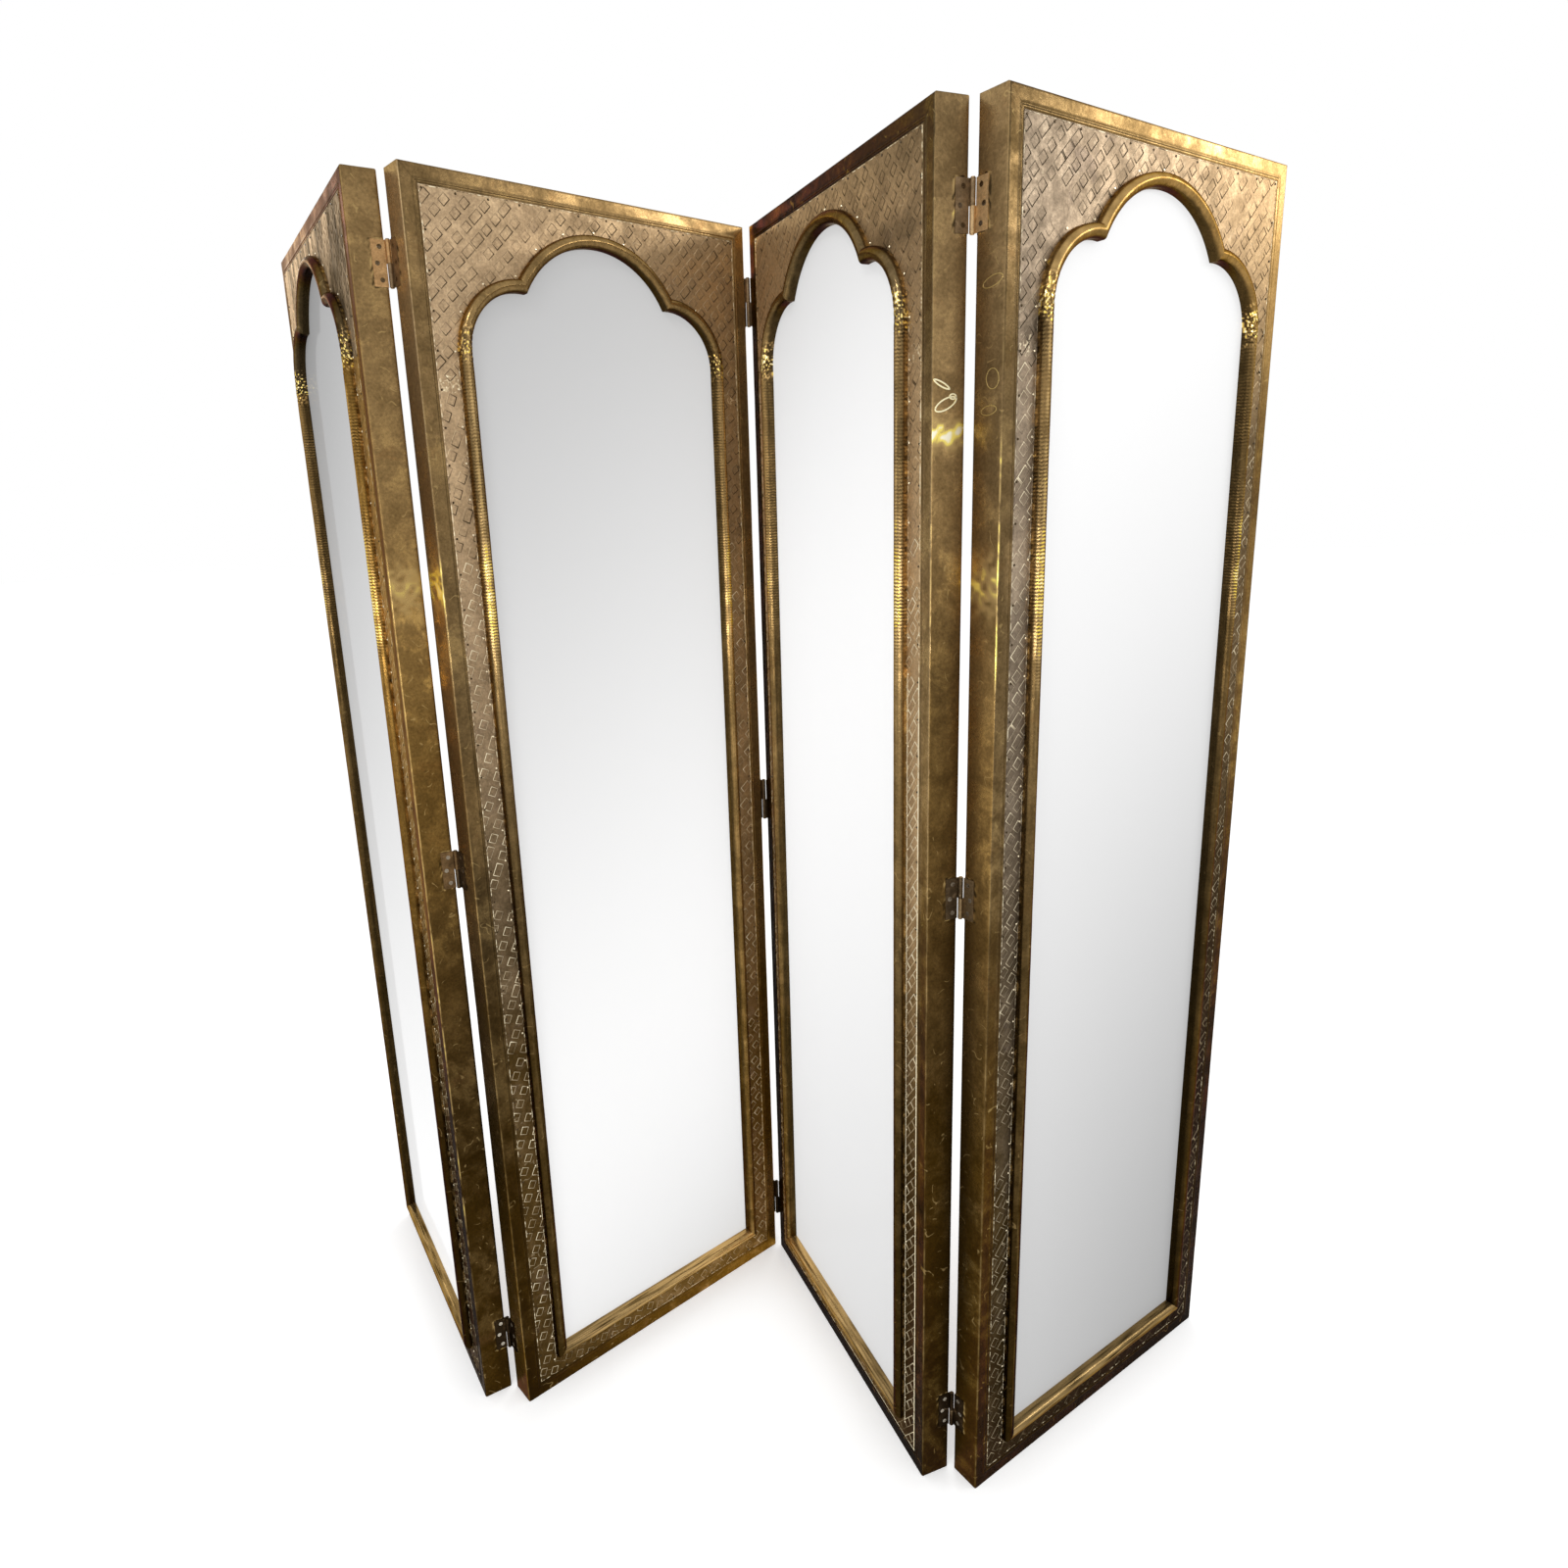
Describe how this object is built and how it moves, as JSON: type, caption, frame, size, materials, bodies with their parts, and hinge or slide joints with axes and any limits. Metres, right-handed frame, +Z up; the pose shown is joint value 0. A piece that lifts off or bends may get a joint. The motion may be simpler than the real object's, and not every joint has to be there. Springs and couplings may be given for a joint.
{
  "type": "mirrored folding screen",
  "caption": "Free-standing folding screen of hinged panels, each a brass-clad wooden frame with an arched moulding round a tall mirror.",
  "frame": {"origin": "bottom centre of the bounding box of the screen as it stands in the picture", "axes": "+Z up, -Y towards the viewer, +X along the row of panels to the viewer's right"},
  "size_m": [1.657, 0.5158, 1.98],
  "materials": {
    "border_brass": "smooth, aged",
    "embossed_brass": "embossed, aged",
    "moulding_brass": "satin, aged",
    "hinge_brass": "satin",
    "pin_brass": "satin, aged",
    "screw_metal": "satin",
    "mirror_glass": "polished",
    "frame_wood": "bare",
    "board_wood": "bare"
  },
  "bodies": {
    "panel_1": {"stile_left_1": "frame_wood", "stile_right_1": "frame_wood", "head_rail_1": "frame_wood", "foot_rail_1": "frame_wood", "edge_cladding_1": "border_brass", "field_sheet_1": "embossed_brass", "arch_moulding_1": "moulding_brass", "straight_moulding_1": "moulding_brass", "mirror_1": "mirror_glass", "back_board_1": "board_wood", "brass_pins_1": "pin_brass", "hinge_12_left_leaves": "hinge_brass", "hinge_12_left_screws": "screw_metal", "hinge_12_pins": "hinge_brass"},
    "panel_2": {"stile_left_2": "frame_wood", "stile_right_2": "frame_wood", "head_rail_2": "frame_wood", "foot_rail_2": "frame_wood", "edge_cladding_2": "border_brass", "field_sheet_2": "embossed_brass", "arch_moulding_2": "moulding_brass", "straight_moulding_2": "moulding_brass", "mirror_2": "mirror_glass", "back_board_2": "board_wood", "brass_pins_2": "pin_brass", "hinge_12_right_leaves": "hinge_brass", "hinge_12_right_screws": "screw_metal", "hinge_23_left_leaves": "hinge_brass", "hinge_23_left_screws": "screw_metal", "hinge_23_pins": "hinge_brass"},
    "panel_3": {"stile_left_3": "frame_wood", "stile_right_3": "frame_wood", "head_rail_3": "frame_wood", "foot_rail_3": "frame_wood", "edge_cladding_3": "border_brass", "field_sheet_3": "embossed_brass", "arch_moulding_3": "moulding_brass", "straight_moulding_3": "moulding_brass", "mirror_3": "mirror_glass", "back_board_3": "board_wood", "brass_pins_3": "pin_brass", "hinge_23_right_leaves": "hinge_brass", "hinge_23_right_screws": "screw_metal", "hinge_34_left_leaves": "hinge_brass", "hinge_34_left_screws": "screw_metal", "hinge_34_pins": "hinge_brass"},
    "panel_4": {"stile_left_4": "frame_wood", "stile_right_4": "frame_wood", "head_rail_4": "frame_wood", "foot_rail_4": "frame_wood", "edge_cladding_4": "border_brass", "field_sheet_4": "embossed_brass", "arch_moulding_4": "moulding_brass", "straight_moulding_4": "moulding_brass", "mirror_4": "mirror_glass", "back_board_4": "board_wood", "brass_pins_4": "pin_brass", "hinge_34_right_leaves": "hinge_brass", "hinge_34_right_screws": "screw_metal"}
  },
  "joints": [
    {"name": "fold_12", "type": "hinge", "parent": "panel_2", "child": "panel_1", "pos_m": [-0.38201, -0.21317, 0.99], "axis": [0, 0, 1], "range_deg": [-80.6, 99.4]},
    {"name": "fold_23", "type": "hinge", "parent": "panel_2", "child": "panel_3", "pos_m": [0.01438, 0.2305, 0.99], "axis": [0, 0, 1], "range_deg": [-53, 109]},
    {"name": "fold_34", "type": "hinge", "parent": "panel_3", "child": "panel_4", "pos_m": [0.39545, -0.2264, 0.99], "axis": [0, 0, 1], "range_deg": [-103.3, 76.7]}
  ]
}
